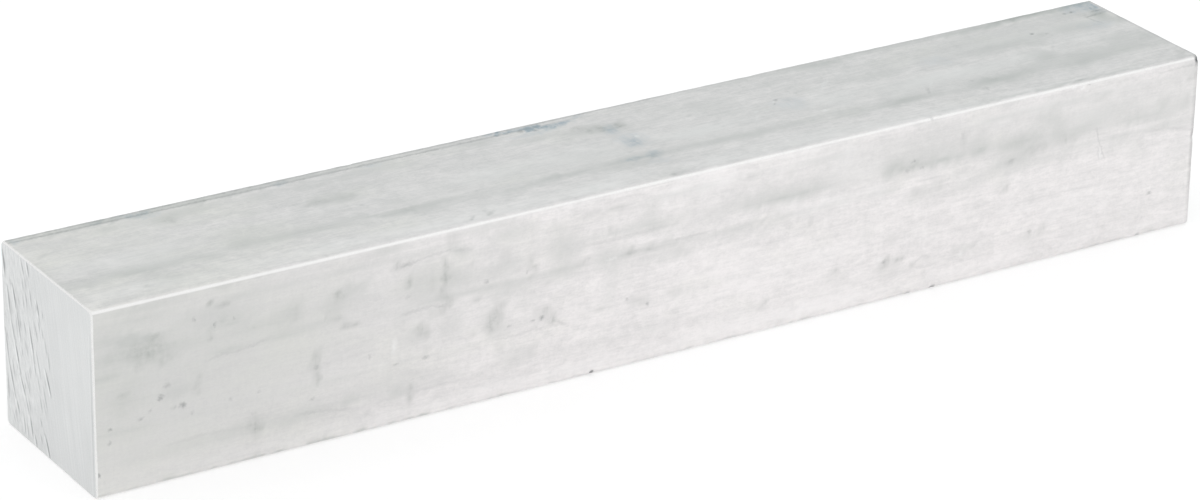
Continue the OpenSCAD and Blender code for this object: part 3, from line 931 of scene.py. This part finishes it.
def build_skin():
    """The whole skin: rings of points from the left end to the right, and a net over each end."""
    ring = section_ring({side: 1 for side in SIDES})
    places, facing, _, _ = ring
    along = stations()
    depth, bare = skin_depth(ring, along)
    wear_and_shading = side_wear_and_shading(ring, along)
    skin = Skin()
    left, left_size = bevel_rings(skin, ring, LEFT, depth[0], wear_and_shading["rub"][0], wear_and_shading["haze"][0])
    right, right_size = bevel_rings(skin, ring, RIGHT, depth[-1], wear_and_shading["rub"][-1], wear_and_shading["haze"][-1])
    body = []
    for i, x in enumerate(along):
        across_up = places - facing * depth[i][:, None]
        here = {kind: values[i] for kind, values in wear_and_shading.items()}
        body.append(skin.add_points(x, across_up, bare=bare[i], **here))
    order = left[::-1] + body + right
    bands = [FILED] * 2 + [MILL_FINISH] * (len(order) - 5) + [FILED] * 2
    for first, second, finish in zip(order, order[1:], bands):
        skin.join_rings(first, second, finish)
    end_cap(skin, left[-1], left_size, LEFT)
    end_cap(skin, right[-1], right_size, RIGHT)
    return skin


def make_bar():
    """Turns the skin into the mesh that stands for the CAD bar."""
    skin = build_skin()
    points = np.concatenate(skin.points)
    points[:, 2] += HALF_WIDTH
    mesh = bpy.data.meshes.new("square_bar_skin")
    mesh.from_pydata((points * MM).tolist(), [], skin.faces)
    for kind in WEAR_AND_PAINTED_LIGHT_KINDS:
        attribute = mesh.attributes.new(kind, "FLOAT", "POINT")
        attribute.data.foreach_set("value", np.concatenate(skin.wear_and_shading[kind]).astype(np.float32))
    mesh.polygons.foreach_set("material_index", skin.finishes)
    mesh.shade_smooth()
    mesh.validate()
    bar = new_object("square_bar_skin", mesh)
    for material in (mill_finish_aluminium(), filed_aluminium(), saw_cut_aluminium()):
        mesh.materials.append(material)
    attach(bar, "root")
    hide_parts("square_bar")


def new_object(name, data):
    """Adds an object with its data to the scene."""
    made = bpy.data.objects.new(name, data)
    bpy.context.scene.collection.objects.link(made)
    return made


def colour(code):
    """A colour written as sRGB hex digits, as the linear values that shaders use."""
    shares = [int(code[i:i + 2], 16) / 255 for i in (0, 2, 4)]
    return [s / 12.92 if s <= 0.04045 else ((s + 0.055) / 1.055) ** 2.4 for s in shares] + [1.0]


def add(tree, kind, sockets=None, out=0, **settings):
    """Adds a node with its settings, socket values and links, and gives back one of its outputs."""
    node = tree.nodes.new(kind)
    for name, value in settings.items():
        setattr(node, name, value)
    for name, value in (sockets or {}).items():
        if isinstance(value, bpy.types.NodeSocket):
            tree.links.new(value, node.inputs[name])
        else:
            node.inputs[name].default_value = value
    return node.outputs[out] if len(node.outputs) else node


# The sockets of a Mix node that carry colours
MIX_A, MIX_B, MIX_RESULT = 6, 7, 2


def laid_over(tree, base, cover, most, code):
    """A base colour with another laid over it by a cover, times the most that it hides."""
    share = add(tree, "ShaderNodeMath", {0: cover, 1: most}, operation="MULTIPLY", use_clamp=True)
    sockets = {0: share, MIX_A: base, MIX_B: colour(code)}
    return add(tree, "ShaderNodeMix", sockets, out=MIX_RESULT, data_type="RGBA")


def new_material(name):
    """An empty node material."""
    material = bpy.data.materials.new(name)
    material.use_nodes = True
    material.node_tree.nodes.clear()
    return material


def place_in_mm(tree):
    """The point's place on the bar in millimetres."""
    place = add(tree, "ShaderNodeTexCoord", out="Object")
    return add(tree, "ShaderNodeVectorMath", {0: place, "Scale": 1 / MM}, operation="SCALE")


# How much the lines along the bar spread the shine across it
SPREAD_OF_SHINE = 0.6
# How deep the finest relief looks, in mm
MILL_GRAIN_DEPTH = 0.012
SAW_GRAIN_DEPTH = 0.012
FILE_GRAIN_DEPTH = 0.01


def finish_metal(material, base, roughness, height, depth):
    """Ends a material in uncoated metal, whose lines along the bar spread the shine across it."""
    tree = material.node_tree
    relief = {"Height": height, "Strength": 1.0, "Distance": depth * MM}
    sockets = {
        "Base Color": base,
        "Metallic": 1.0,
        "Roughness": roughness,
        "Normal": add(tree, "ShaderNodeBump", relief),
        "Anisotropic": SPREAD_OF_SHINE,
        "Tangent": add(tree, "ShaderNodeTangent", direction_type="RADIAL", axis="X"),
    }
    shader = add(tree, "ShaderNodeBsdfPrincipled", sockets)
    add(tree, "ShaderNodeOutputMaterial", {"Surface": shader})
    return material


def pattern(tree, place, size, detail=2.0, roughness=0.5, distortion=0.0):
    """Uneven noise whose features have about these sizes in millimetres along X, Y and Z."""
    spread = add(tree, "ShaderNodeVectorMath", {0: place, 1: [1 / s for s in size]}, operation="MULTIPLY")
    sockets = {"Vector": spread, "Scale": 1.0, "Detail": detail, "Roughness": roughness,
               "Distortion": distortion}
    return add(tree, "ShaderNodeTexNoise", sockets)


def weighted(tree, start, patterns, **weights):
    """A start value plus each named pattern's swing about its middle times its weight."""
    total = start
    for name, weight in weights.items():
        swing = add(tree, "ShaderNodeMath", {0: patterns[name], 1: 0.5}, operation="SUBTRACT")
        total = add(tree, "ShaderNodeMath", {0: swing, 1: weight, 2: total}, operation="MULTIPLY_ADD")
    return total


# How far a small mark reaches above and below the side that it is on, in mm
MARK_REACH = 1.5


def on_side(side, from_left, across):
    """A point in mm on a side: from the left end, and from the side's back or top edge."""
    x = from_left - HALF_LENGTH
    y_z = {TOP: (HALF_WIDTH - across, WIDTH), UNDERSIDE: (HALF_WIDTH - across, 0),
           FRONT: (-HALF_WIDTH, WIDTH - across), BACK: (HALF_WIDTH, WIDTH - across)}[side]
    return (x, *y_z)


def marks(tree, place, listed):
    """How strongly marks cover a point: each one's strength in its middle, and none at its rim."""
    total = 0.0
    for side, from_left, across, length, height, strength, *tilt in listed:
        turn = math.radians(sum(tilt))
        if side in (TOP, UNDERSIDE):
            half_size = (length / 2, height / 2, MARK_REACH)
            rotation = (0, 0, turn)
        else:
            half_size = (length / 2, MARK_REACH, height / 2)
            rotation = (0, -turn, 0)
        sockets = {"Vector": place, "Location": on_side(side, from_left, across),
                   "Rotation": rotation, "Scale": half_size}
        local = add(tree, "ShaderNodeMapping", sockets, vector_type="TEXTURE")
        near = add(tree, "ShaderNodeTexGradient", {"Vector": local}, out=1, gradient_type="SPHERICAL")
        total = add(tree, "ShaderNodeMath", {0: near, 1: strength, 2: total}, operation="MULTIPLY_ADD")
    return total


# The metal turns a little warmer toward the left end: where this starts and
# where it is full, in mm from the bar's middle
WARM_START = -30
WARM_FULL = -90


def mill_patterns(tree, place):
    """The uneven patterns of the metal as it left the die, by name."""
    along = add(tree, "ShaderNodeSeparateXYZ", {0: place}, out=0)
    warm_limits = {"Value": along, "From Min": WARM_START, "From Max": WARM_FULL}
    return {
        # The die's lines are about 0.1 mm apart, and are drawn about four times
        # as coarse, so that they show
        "die_lines": pattern(tree, place, (26, 0.5, 0.5), detail=3.0, roughness=0.6),
        "drawn_bands": pattern(tree, place, (90, 4.5, 4.5), detail=2.0),
        "oxide": pattern(tree, place, (22, 11, 11), detail=4.0),
        "mottle": pattern(tree, place, (4.2, 2.4, 2.4), detail=6.0, roughness=0.66, distortion=0.6),
        "wisps": pattern(tree, place, (5.0, 0.6, 0.6), detail=4.0, roughness=0.6, distortion=0.8),
        "flecks": pattern(tree, place, (1.0, 0.8, 0.8), detail=4.0, roughness=0.65, distortion=0.4),
        "grain": pattern(tree, place, (0.45, 0.26, 0.26), detail=3.0, distortion=0.4),
        # Rubs across the bar, made of fine strokes
        "strokes": pattern(tree, place, (0.6, 2.6, 2.6), detail=3.0, distortion=0.5),
        "tarnish": pattern(tree, place, (16, 7, 7), detail=3.0),
        "warm_end": add(tree, "ShaderNodeMapRange", warm_limits),
    }


def broken_up(tree, cover, broken):
    """A soft mark's cover turned to a patchy one, with ragged rims."""
    patchy = add(tree, "ShaderNodeMath", {0: cover, 1: broken}, operation="MULTIPLY")
    return add(tree, "ShaderNodeMapRange", {"Value": patchy, "From Min": 0.06, "From Max": 0.95})


def mill_marks(tree, place, patterns):
    """How strongly each kind of mark covers a point, by name."""
    # Small marks get slightly ragged rims
    wander = add(tree, "ShaderNodeTexNoise", {"Vector": place, "Scale": 1.7, "Detail": 3.0}, out=1)
    wander = add(tree, "ShaderNodeVectorMath", {0: wander, 1: (0.5, 0.5, 0.5)}, operation="SUBTRACT")
    shifted = {0: wander, 1: (1.0, 0.9, 0.9), 2: place}
    ragged = add(tree, "ShaderNodeVectorMath", shifted, operation="MULTIPLY_ADD")
    hidden_specks = hidden_marks(
        HIDDEN_SPECK_SEED, count=14, length=(0.9, 1.8), height=(0.8, 1.3), strength=(0.6, 1.4))
    cover = {
        "speck": marks(tree, ragged, on_sides(SPECKS) + hidden_specks),
        "scratch": marks(tree, ragged, stretches(SCRATCHES)),
        "bright": marks(tree, ragged, on_sides(BRIGHT_MARKS)),
    }
    for kind in ("rub", "haze", "pale", "blue", "bare"):
        cover[kind] = add(tree, "ShaderNodeAttribute", out="Fac", attribute_name=kind)
    # Rubs and traces break up into flecks and strokes, haze and pale bands are
    # only clouded, and the small marks crumble
    broken = weighted(tree, 1.0, patterns, mottle=1.2, flecks=2.4, strokes=1.8, wisps=0.8, grain=0.8)
    clouded = weighted(tree, 1.0, patterns, mottle=1.0, wisps=0.8, oxide=0.6, flecks=0.6)
    crumbled = weighted(tree, 1.0, patterns, flecks=2.4, grain=2.0)
    for kind in ("rub", "blue"):
        cover[kind] = broken_up(tree, cover[kind], broken)
    for kind, uneven in (("haze", clouded), ("pale", clouded), ("scratch", crumbled)):
        factors = {0: cover[kind], 1: uneven}
        cover[kind] = add(tree, "ShaderNodeMath", factors, operation="MULTIPLY", use_clamp=True)
    speck = add(tree, "ShaderNodeMath", {0: cover["speck"], 1: crumbled}, operation="MULTIPLY")
    speck_limits = {"Value": speck, "From Min": 0.05, "From Max": 1.3}
    cover["speck"] = add(tree, "ShaderNodeMapRange", speck_limits)
    return cover


# What lies over the plain metal, from the first layer to the last: the kind of
# mark, the most that it hides, and its colour. The haze layer also carries painted
# shade, and the pale one painted highlights.
LAYERS = [
    ("pale", 0.8, "F8F6F6"), ("haze", 0.7, "BBBFBC"), ("rub", 0.6, "ABAFAC"), ("blue", 0.65, "8AA4B4"),
    ("speck", 0.55, "7F8284"), ("scratch", 0.45, "8A8D8E"), ("bright", 0.6, "FAFAFA"),
]


def mill_colour(tree, patterns, cover, edge):
    """The metal's colour: pale and dull in an uneven mix, with its marks, painted shade in its nicks, and
    burnished edges painted paler as a highlight.
    """
    share = weighted(tree, 0.69, patterns, die_lines=0.3, drawn_bands=0.3, oxide=0.6, mottle=1.0,
                     wisps=0.75, flecks=0.7, strokes=0.2, grain=0.5)
    tarnish = weighted(tree, 0.2, patterns, tarnish=2.0, warm_end=0.6)
    pale = laid_over(tree, colour("F4F1F1"), tarnish, 1.0, "F2F1EC")
    dull = add(tree, "ShaderNodeMath", {0: 1.0, 1: share}, operation="SUBTRACT")
    base = laid_over(tree, pale, dull, 1.0, "D3D2D2")
    for kind, most, code in LAYERS:
        base = laid_over(tree, base, cover[kind], most, code)
    # Handling burnishes the round edges, so they are paler, and the paler colour also paints their
    # highlight
    burnish_and_highlight = weighted(tree, 1.0, patterns, mottle=0.8)
    burnish_and_highlight = add(tree, "ShaderNodeMath", {0: burnish_and_highlight, 1: edge}, operation="MULTIPLY", use_clamp=True)
    base = laid_over(tree, base, burnish_and_highlight, 1.0, "F9F9F8")
    # The edges' painted highlight is a little duller toward the left end
    duller_burnish_and_highlight = add(tree, "ShaderNodeMath", {0: burnish_and_highlight, 1: patterns["warm_end"]}, operation="MULTIPLY")
    base = laid_over(tree, base, duller_burnish_and_highlight, 1.0, "F3F3F2")
    # Nicks are painted dark as shade
    return laid_over(tree, base, cover["bare"], 1.0, "76787A")


def mill_finish_aluminium():
    """Mill-finish extruded aluminium, straight from the die.

    To the eye: a pale satin grey with fine lines along the bar, a faint mottle
    of oxide, darker rubs and small pits from handling, and burnished edges, painted
    paler as a highlight.
    """
    material = new_material("mill_finish_extruded_aluminium")
    tree = material.node_tree
    place = place_in_mm(tree)
    patterns = mill_patterns(tree, place)
    cover = mill_marks(tree, place, patterns)
    edge = edge_mask(tree, place)
    base = mill_colour(tree, patterns, cover, edge)
    # Rubs are a little rougher, and the burnished edges smoother
    roughness = weighted(tree, 0.42, patterns, drawn_bands=0.1, mottle=0.14, grain=0.1)
    height = weighted(tree, 0.5, patterns, die_lines=0.5, wisps=1.0, grain=0.4, mottle=0.9, strokes=0.2)
    for value, weight in ((cover["rub"], 0.1), (edge, -0.16)):
        sockets = {0: value, 1: weight, 2: roughness}
        roughness = add(tree, "ShaderNodeMath", sockets, operation="MULTIPLY_ADD")
    for value, weight in ((cover["speck"], -1.2), (cover["scratch"], -1.0)):
        sockets = {0: value, 1: weight, 2: height}
        height = add(tree, "ShaderNodeMath", sockets, operation="MULTIPLY_ADD")
    return finish_metal(material, base, roughness, height, MILL_GRAIN_DEPTH)


# Where the burnish and the painted highlight of a round edge start and are
# full, as shares of its radius in from the sides
BURNISH_AND_HIGHLIGHT_START = 0.6
BURNISH_AND_HIGHLIGHT_FULL = 0.3


def edge_mask(tree, place):
    """1 on the round long edges and 0 on the flats."""
    centred = add(tree, "ShaderNodeVectorMath", {0: place, 1: (0, 0, -HALF_WIDTH)}, operation="ADD")
    apart = add(tree, "ShaderNodeSeparateXYZ", {0: centred}).node
    y = add(tree, "ShaderNodeMath", {0: apart.outputs[1]}, operation="ABSOLUTE")
    z = add(tree, "ShaderNodeMath", {0: apart.outputs[2]}, operation="ABSOLUTE")
    least = add(tree, "ShaderNodeMath", {0: y, 1: z}, operation="MINIMUM")
    limits = {"Value": least, "From Min": HALF_WIDTH - EDGE_RADIUS * BURNISH_AND_HIGHLIGHT_START,
              "From Max": HALF_WIDTH - EDGE_RADIUS * BURNISH_AND_HIGHLIGHT_FULL}
    return add(tree, "ShaderNodeMapRange", limits, interpolation_type="SMOOTHSTEP")


# How far the lines that the saw's teeth leave lean from upright
TOOTH_LINE_LEAN = math.radians(11)
# Where the tearing starts and where it is full, in mm back from the middle
TORN_START = -4
TORN_FULL = 9


def saw_cut_aluminium():
    """Saw-cut aluminium, straight from the blade.

    To the eye: an even pale grey with fine leaning lines from the teeth, torn
    toward the back, and grooves darkened by dirt and painted shade, with painted
    highlights on their rims.
    """
    material = new_material("saw_cut_aluminium")
    tree = material.node_tree
    place = place_in_mm(tree)
    leaning = add(tree, "ShaderNodeMapping", {"Vector": place, "Rotation": (TOOTH_LINE_LEAN, 0, 0)})
    patterns = {
        # The teeth leave lines about 0.1 mm apart, drawn three times as coarse
        "tooth_lines": pattern(tree, leaning, (9, 0.3, 14), detail=2.0),
        "bands": pattern(tree, leaning, (20, 2.2, 30), detail=3.0),
        "torn": pattern(tree, leaning, (9, 0.5, 1.6), detail=4.0, roughness=0.6, distortion=0.4),
        "grain": pattern(tree, place, (0.25, 0.25, 0.25), detail=2.0),
        "cloud": pattern(tree, place, (9, 9, 9), detail=3.0),
    }
    # The blade tore the metal more where it came out, in the back half
    toward_back = add(tree, "ShaderNodeSeparateXYZ", {0: place}, out=1)
    torn_limits = {"Value": toward_back, "From Min": TORN_START, "From Max": TORN_FULL}
    tearing = add(tree, "ShaderNodeMapRange", torn_limits, interpolation_type="SMOOTHSTEP")
    torn = weighted(tree, 0.0, patterns, torn=1.5)
    share = weighted(tree, 0.62, patterns, tooth_lines=0.7, bands=0.25, grain=0.6, cloud=0.4)
    height = weighted(tree, 0.5, patterns, tooth_lines=1.0, grain=0.4)
    share, height = [
        add(tree, "ShaderNodeMath", {0: torn, 1: tearing, 2: value}, operation="MULTIPLY_ADD")
        for value in (share, height)
    ]
    base = laid_over(tree, colour("CCCECE"), share, 1.0, "EAEBEB")
    # Grooves are painted darker as dirt and shade, and their rims paler as a highlight
    for kind, most, code in (("groove", 0.95, "8C8E90"), ("rim", 0.75, "FAFBFB")):
        cover = add(tree, "ShaderNodeAttribute", out="Fac", attribute_name=kind)
        base = laid_over(tree, base, cover, most, code)
    roughness = weighted(tree, 0.46, patterns, tooth_lines=0.12, grain=0.12)
    return finish_metal(material, base, roughness, height, SAW_GRAIN_DEPTH)


def filed_aluminium():
    """Freshly filed aluminium: bright fresh metal, with short file strokes across the bevel and painted
    shade in its chips.
    """
    material = new_material("filed_aluminium")
    tree = material.node_tree
    place = place_in_mm(tree)
    strokes = pattern(tree, place, (0.6, 0.5, 0.5), detail=3.0)
    base = laid_over(tree, colour("E2E2E1"), strokes, 1.0, "F3F3F2")
    # Chips in the bevel are painted dark as shade
    chip_shade = add(tree, "ShaderNodeAttribute", out="Fac", attribute_name="bare")
    base = laid_over(tree, base, chip_shade, 1.0, "5E6062")
    roughness = weighted(tree, 0.28, {"strokes": strokes}, strokes=0.1)
    return finish_metal(material, base, roughness, strokes, FILE_GRAIN_DEPTH)


# The floor, in metres, and how far its paper is lifted to white for the rays
# that show the background, and a little more for the camera's own
FLOOR_HALF_SIZE = 4.0
PAPER_GLOW = 0.48
EXTRA_GLOW = 0.03


def make_floor():
    """A plain white floor that keeps the bar's soft shadow."""
    mesh = bpy.data.meshes.new("floor")
    half = FLOOR_HALF_SIZE
    corners = [(-half, -half, 0), (half, -half, 0), (half, half, 0), (-half, half, 0)]
    mesh.from_pydata(corners, [], [(0, 1, 2, 3)])
    floor = new_object("floor", mesh)
    floor.location.z = CAD_LOW.z
    material = new_material("white_paper")
    tree = material.node_tree
    diffuse = add(tree, "ShaderNodeBsdfDiffuse", {"Color": colour("C8C8C8")})
    rays = background_rays(tree)
    lift = add(tree, "ShaderNodeMath", {0: rays, 1: PAPER_GLOW}, operation="MULTIPLY")
    # The camera sees the shadow a little fainter than the metal does
    seen = add(tree, "ShaderNodeLightPath", out="Is Camera Ray")
    lift = add(tree, "ShaderNodeMath", {0: seen, 1: EXTRA_GLOW, 2: lift}, operation="MULTIPLY_ADD")
    glow = add(tree, "ShaderNodeEmission", {"Color": colour("FFFFFF"), "Strength": lift})
    both = add(tree, "ShaderNodeAddShader", {0: diffuse, 1: glow})
    add(tree, "ShaderNodeOutputMaterial", {"Surface": both})
    mesh.materials.append(material)


def background_rays(tree):
    """1 for the camera's rays, and for those that metal or glass reflects or lets through."""
    path = add(tree, "ShaderNodeLightPath").node
    total = path.outputs["Is Camera Ray"]
    for name in ("Is Glossy Ray", "Is Transmission Ray"):
        sockets = {0: total, 1: path.outputs[name]}
        total = add(tree, "ShaderNodeMath", sockets, operation="ADD", use_clamp=True)
    return total


# The studio's darker side: the way to it, and where its shade starts and is
# full, as the cosine of the angle from there
SHADE_SIDE = (0.82, 0.54, 0.18)
SHADE_START = 0.35
SHADE_FULL = 0.98


def make_world():
    """Soft light from all round: a white room, pale grey at the right behind the bar."""
    world = bpy.data.worlds.new("studio")
    bpy.context.scene.world = world
    world.use_nodes = True
    tree = world.node_tree
    tree.nodes.clear()
    direction = add(tree, "ShaderNodeTexCoord", out="Generated")
    ways = {0: direction, 1: SHADE_SIDE}
    toward = add(tree, "ShaderNodeVectorMath", ways, out=1, operation="DOT_PRODUCT")
    limits = {"Value": toward, "From Min": SHADE_START, "From Max": SHADE_FULL}
    shade = add(tree, "ShaderNodeMapRange", limits, interpolation_type="SMOOTHSTEP")
    room = laid_over(tree, colour("FFFFFF"), shade, 1.0, "E0E5E4")
    background = add(tree, "ShaderNodeBackground", {"Color": room, "Strength": 1.0})
    add(tree, "ShaderNodeOutputWorld", {"Surface": background})


# The lamp at the front right, in metres and watts: it shines on the bar's
# right half
SOFTBOX_PLACE = (0.28, -0.40, 0.12)
SOFTBOX_AIM = (0.04, -0.015, 0.015)
SOFTBOX_SIZE = 0.25
SOFTBOX_WATTS = 0.03


def make_softbox():
    """A weak square lamp beside the camera."""
    lamp = bpy.data.lights.new("front_right_softbox", "AREA")
    lamp.shape = "SQUARE"
    lamp.size = SOFTBOX_SIZE
    lamp.energy = SOFTBOX_WATTS
    softbox = new_object("front_right_softbox", lamp)
    softbox.location = SOFTBOX_PLACE
    way = Vector(SOFTBOX_AIM) - Vector(SOFTBOX_PLACE)
    softbox.rotation_euler = way.to_track_quat("-Z", "Y").to_euler()


# The camera: what it looks at and from how far, at which angles in degrees,
# and its lens and sensor, with the lengths in mm
CAMERA_AIM = (-13.32, -12.77, 19.70)
CAMERA_DISTANCE = 720
CAMERA_AZIMUTH = -32.261
CAMERA_ELEVATION = 23.839
CAMERA_ROLL = 0.904
CAMERA_LENS = 141.96
SENSOR_WIDTH = 36
# The nearest and the farthest that the camera sees, in metres
SEEN_FROM = 0.01
SEEN_TO = 50


def make_camera():
    """The photo's view, from the left and a little above."""
    angles = (CAMERA_AZIMUTH, CAMERA_ELEVATION, CAMERA_ROLL)
    azimuth, elevation, roll = (math.radians(angle) for angle in angles)
    level = math.cos(elevation)
    forward = Vector((-math.sin(azimuth) * level, math.cos(azimuth) * level, -math.sin(elevation)))
    right = Vector((math.cos(azimuth), math.sin(azimuth), 0))
    up = right.cross(forward)
    rolled_right = right * math.cos(roll) + up * math.sin(roll)
    rolled_up = up * math.cos(roll) - right * math.sin(roll)
    turn = Matrix((rolled_right, rolled_up, -forward)).transposed()
    data = bpy.data.cameras.new("camera")
    data.lens = CAMERA_LENS
    data.sensor_width = SENSOR_WIDTH
    data.sensor_fit = "HORIZONTAL"
    data.clip_start = SEEN_FROM
    data.clip_end = SEEN_TO
    camera = new_object("camera", data)
    place = (Vector(CAMERA_AIM) - forward * CAMERA_DISTANCE) * MM
    camera.matrix_world = Matrix.Translation(place) @ turn.to_4x4()
    bpy.context.scene.camera = camera


make_camera()
make_world()
make_floor()
make_softbox()
make_bar()
bpy.context.scene.view_settings.view_transform = "Standard"
